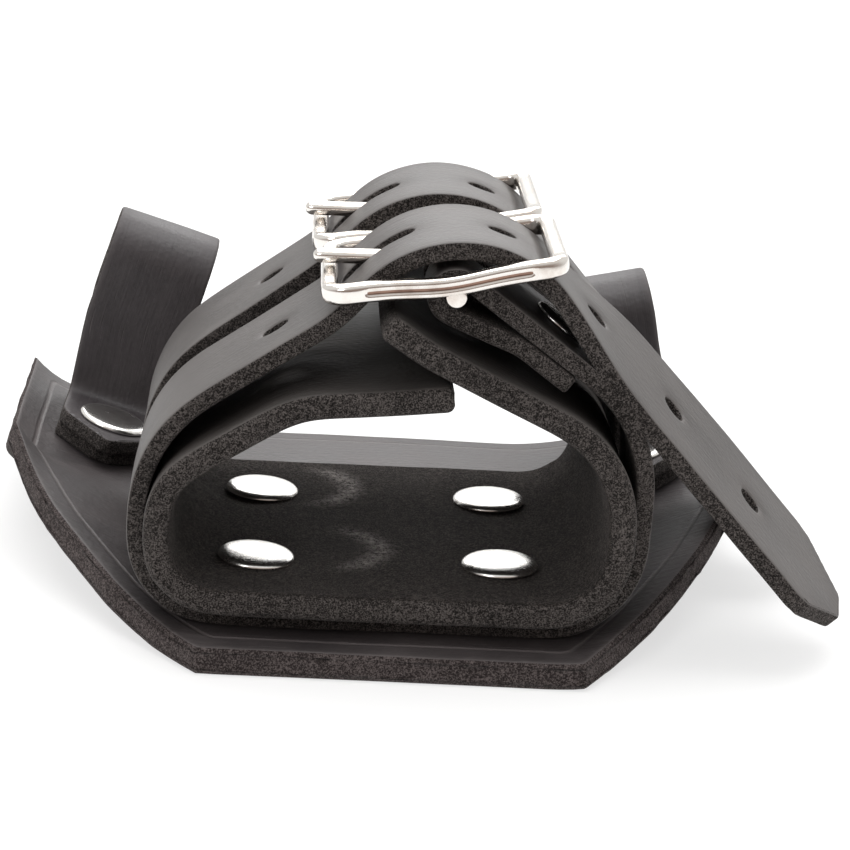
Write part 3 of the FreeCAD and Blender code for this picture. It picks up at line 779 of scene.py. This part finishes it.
def buckle_ring():
    bm = section(RING, RING, 0.85)
    x, y = -RING_LEFT, 0.5 * (RING_W - RING)
    bmesh.ops.translate(bm, vec=(x, 0, 0), verts=bm.verts)
    edges = draw_out(bm, bm.edges[:], (0, -0.25 * (y - CORNER), 0), 4)
    edges = spin_on(bm, edges, (x + CORNER, -y + CORNER, 0), (0, 0, 1), math.pi / 2, 8)
    side_run = RING_LEFT + RING_RIGHT - 2 * CORNER
    edges = draw_out(bm, edges, (side_run / 24, 0, 0), 24)
    edges = spin_on(bm, edges, (RING_RIGHT - CORNER, -y + CORNER, 0), (0, 0, 1), math.pi / 2, 8)
    edges = draw_out(bm, edges, (0, 0.25 * (y - CORNER), 0), 8)
    edges = spin_on(bm, edges, (RING_RIGHT - CORNER, y - CORNER, 0), (0, 0, 1), math.pi / 2, 8)
    edges = draw_out(bm, edges, (-side_run / 24, 0, 0), 24)
    edges = spin_on(bm, edges, (x + CORNER, y - CORNER, 0), (0, 0, 1), math.pi / 2, 8)
    draw_out(bm, edges, (0, -0.25 * (y - CORNER), 0), 4)
    bmesh.ops.remove_doubles(bm, verts=bm.verts, dist=0.01)
    bmesh.ops.recalc_face_normals(bm, faces=bm.faces)
    for v in bm.verts:
        beside = min(1.0, max(0.0, (abs(v.co.y) - 11.5) / 1.5))
        v.co.z *= 1.0 + 0.18 * beside
        v.co.z -= 0.8 * beside * math.exp(-((v.co.x + 1.0) / 7.0) ** 2)
    bm.normal_update()
    grooves = [f for f in bm.faces if abs(f.normal.y) > 0.985 and abs(f.calc_center_median().y) > 15.3
               and -RING_LEFT + 5.5 < f.calc_center_median().x < RING_RIGHT - 4.0]
    bmesh.ops.inset_region(bm, faces=grooves, thickness=0.22, depth=-0.30, use_even_offset=True)
    # The groove faces take the dark brown nickel as painted shade and painted reflection.
    for f in grooves:
        f.material_index = 1
    return bm


def buckle_bar(bm):
    """Adds the centre bar and the bosses that hold its ends."""
    along_y = Matrix.Translation((0, 0, -RISE)) @ Matrix.Rotation(math.pi / 2, 4, "X")
    bmesh.ops.create_cone(bm, cap_ends=True, segments=28, radius1=0.5 * BAR_D, radius2=0.5 * BAR_D,
                          depth=RING_W - RING, matrix=along_y)
    boss_r, boss_lift = 1.6, 0.5
    for s in (-1, 1):
        centre = s * (0.5 * (RING_W - RING) + 0.1)
        spot = Matrix.Translation((0, centre, boss_lift)) @ along_y
        made = bmesh.ops.create_cone(bm, cap_ends=True, segments=28, radius1=boss_r, radius2=boss_r,
                                     depth=RING - 0.6, matrix=spot)["verts"]
        caps = {e for v in made for e in v.link_edges if abs(e.verts[0].co.y - e.verts[1].co.y) < 0.01}
        bmesh.ops.bevel(bm, geom=list(caps), offset=0.35, segments=2, profile=0.5, affect="EDGES",
                        material=-1)


def on_bar(name):
    """From the flat buckle to its place on the strap."""
    y_mid, bar, dx, twist = strap_places[name]
    tilt = Matrix.Rotation(-TILT, 4, "Y")
    return Matrix.Translation((bar.x, y_mid, bar.y)) @ tilt @ Matrix.Translation((0, 0, RISE))


for name in strap_places:
    bm = buckle_ring()
    buckle_bar(bm)
    for f in bm.faces:
        f.smooth = True
    bmesh.ops.transform(bm, matrix=on_bar(name), verts=bm.verts)
    finish_piece(bm, name + "_buckle_ring", name + "_frame", [name + "_buckle_frame"],
                 [BUCKLE_NICKEL, PAINTED_SHADE_GROOVE_NICKEL])

# %% Prongs
PRONG_D = 2.4


def prong():
    eye = 0.5 * BAR_D + 0.06 + 0.5 * PRONG_D
    tip = Vector((-RING_LEFT - 1.04, 0, 0.5 * RING + 0.3 + 0.5 * PRONG_D))
    centre = Vector((0, 0, -RISE))
    reach = (tip - centre).length
    lift = math.atan2(tip.z - centre.z, -(tip.x - centre.x)) + math.acos(eye / reach)
    root = centre + Vector((-math.cos(lift), 0, math.sin(lift))) * eye
    run = tip - root
    bm = bmesh.new()
    bmesh.ops.create_circle(bm, segments=14, radius=0.5 * PRONG_D)
    bmesh.ops.transform(bm, matrix=facing(root, run), verts=bm.verts)
    start = bm.edges[:]
    eye_end = spin_on(bm, start, centre, (0, 1, 0), math.radians(315), 22)
    stem_end = draw_out(bm, start, run / 12, 12)
    for edges, out in ((eye_end, None), (stem_end, run.normalized())):
        if out is None:
            bmesh.ops.edgeloop_fill(bm, edges=edges)
            continue
        hub = sum((v.co for e in edges for v in e.verts), Vector()) / (2 * len(edges))
        for shrink, go in ((0.86, 0.55), (0.66, 0.35), (0.35, 0.15)):
            edges = draw_out(bm, edges, out * go)
            hub += out * go
            loop = {v for e in edges for v in e.verts}
            for v in loop:
                v.co = hub + (v.co - hub) * shrink
        bmesh.ops.edgeloop_fill(bm, edges=edges)
    bmesh.ops.recalc_face_normals(bm, faces=bm.faces)
    across = Vector((0, 1, 0))
    flat_way = run.normalized().cross(across)
    for v in bm.verts:
        f = (v.co - root).dot(run) / run.length_squared
        if f > 0.02:
            spread = 1.0 + 0.28 * math.sin(min(1.0, f) * math.pi) ** 0.6
            line_point = root + run * f
            off = v.co - line_point
            h = off.dot(flat_way)
            v.co = line_point + across * off.y * spread + flat_way * h * (0.94 if h * flat_way.z > 0 else 1.0)
    for f in bm.faces:
        f.smooth = True
    return bm


for name in strap_places:
    bm = prong()
    bmesh.ops.transform(bm, matrix=on_bar(name), verts=bm.verts)
    finish_piece(bm, name + "_buckle_prong_nickel", name + "_prong",
                 [name + "_buckle_prong"], [BUCKLE_NICKEL])

# %% [markdown]
# ## Rivet posts
# The posts and their sunk base discs have the right shape in the CAD model already, so those
# nodes stay and only get the nickel finish.

# %% Posts keep their CAD shape
for node_name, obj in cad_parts.items():
    if "_post" in node_name:
        obj.data.materials.clear()
        obj.data.materials.append(CAP_NICKEL)

# %% [markdown]
# ## Stage, light and camera
# The object lies on a wide white light table. Product light for black leather comes mostly from above
# and behind: it gives the upper faces a soft sheen and leaves the sides dark, which shows the
# shape. A long lens keeps the plate's edges from spreading.

# %% Floor
floor_mesh = bpy.data.meshes.new("floor")
bm = bmesh.new()
bmesh.ops.create_grid(bm, x_segments=4, y_segments=4, size=4.0)
bm.to_mesh(floor_mesh)
bm.free()
floor = bpy.data.objects.new("floor", floor_mesh)
bpy.context.scene.collection.objects.link(floor)
floor_paint, _, floor_shader = finish("white paper", 0.9, specular=0.1)
floor_shader.inputs["Base Color"].default_value = (0.34, 0.34, 0.34, 1.0)
floor_shader.inputs["Emission Color"].default_value = (1.0, 1.0, 1.0, 1.0)
floor_shader.inputs["Emission Strength"].default_value = 0.66
floor_mesh.materials.append(floor_paint)

# %% Lights
world = bpy.data.worlds.new("studio")
bpy.context.scene.world = world
world.use_nodes = True
sky = world.node_tree.nodes["Background"]
sky.inputs["Strength"].default_value = 0.8
tree = world.node_tree
way = add(tree, "SeparateXYZ", {0: add(tree, "TexCoord").outputs["Generated"]})
height = plus(tree, (way.outputs["Z"], 1.0), (way.outputs["Y"], 0.55))
room = blend_colour(tree, between(tree, height, -0.45, 0.45), (0.30, 0.225, 0.19), (1.0, 0.985, 0.965))
tree.links.new(room, sky.inputs["Color"])


def softbox(name, place, aim, size, power):
    data = bpy.data.lights.new(name, "AREA")
    data.shape = "RECTANGLE"
    data.size, data.size_y = size
    data.energy = power
    lamp = bpy.data.objects.new(name, data)
    bpy.context.scene.collection.objects.link(lamp)
    lamp.location = place
    lamp.rotation_mode = "QUATERNION"
    lamp.rotation_quaternion = (Vector(aim) - Vector(place)).to_track_quat("-Z", "Y")
    return lamp


softbox("overhead", (0.0, 0.20, 0.95), (0, 0, 0.03), (1.1, 0.8), 9)
softbox("back", (0.15, 1.1, 0.65), (0, 0, 0.04), (1.2, 0.5), 6)
softbox("front left", (-0.7, -0.9, 0.7), (0, 0, 0.03), (0.5, 0.5), 3)

# %% Camera
PITCH, YAW, ROLL = math.radians(17.1), math.radians(3.1), math.radians(3.8)
ahead = Vector((math.sin(YAW) * math.cos(PITCH), math.cos(YAW) * math.cos(PITCH), -math.sin(PITCH)))
level = Vector((math.cos(YAW), -math.sin(YAW), 0))
steep = level.cross(ahead)
right = math.cos(ROLL) * level + math.sin(ROLL) * steep
up = -math.sin(ROLL) * level + math.cos(ROLL) * steep
camera_data = bpy.data.cameras.new("camera")
camera_data.lens = 114.35
camera_data.sensor_width = 36.0
camera_data.clip_start = 0.02
camera = bpy.data.objects.new("camera", camera_data)
bpy.context.scene.collection.objects.link(camera)
turn = Matrix((right, up, -ahead)).transposed().to_4x4()
camera.matrix_world = Matrix.Translation((-0.0154, -0.4068, 0.1540)) @ turn
bpy.context.scene.camera = camera
bpy.context.scene.view_settings.view_transform = "Standard"
